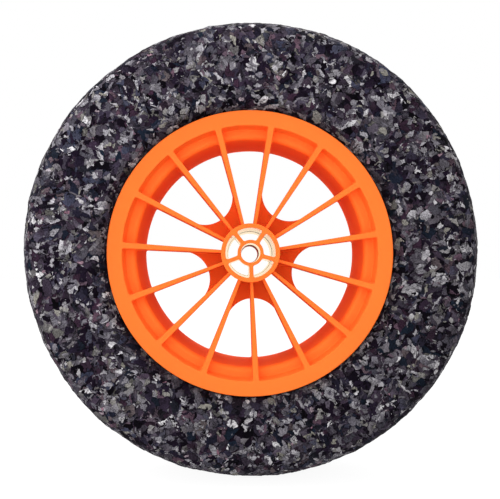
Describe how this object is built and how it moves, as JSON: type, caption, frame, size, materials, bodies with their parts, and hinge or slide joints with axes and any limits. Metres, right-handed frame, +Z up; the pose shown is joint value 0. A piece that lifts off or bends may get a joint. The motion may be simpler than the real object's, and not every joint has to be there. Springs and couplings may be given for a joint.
{
  "type": "wheelbarrow wheel",
  "caption": "Puncture-proof barrow wheel: bonded foam-chip tyre on a one-piece spoked plastic rim with a plain axle bore.",
  "frame": {"origin": "the wheel's centre, on the axle bore's axis at mid width", "axes": "+Y along the axle, away from the side that the picture shows; +Z up; the wheel spins about +Y"},
  "size_m": [0.4, 0.1, 0.3999],
  "materials": {
    "foam_chips": "matt bonded chips of dark grey, light grey and tinted foam",
    "orange_plastic": "moulded orange plastic with a soft satin sheen"
  },
  "bodies": {
    "root": {"tyre": "foam_chips", "rim": "orange_plastic"}
  },
  "joints": []
}
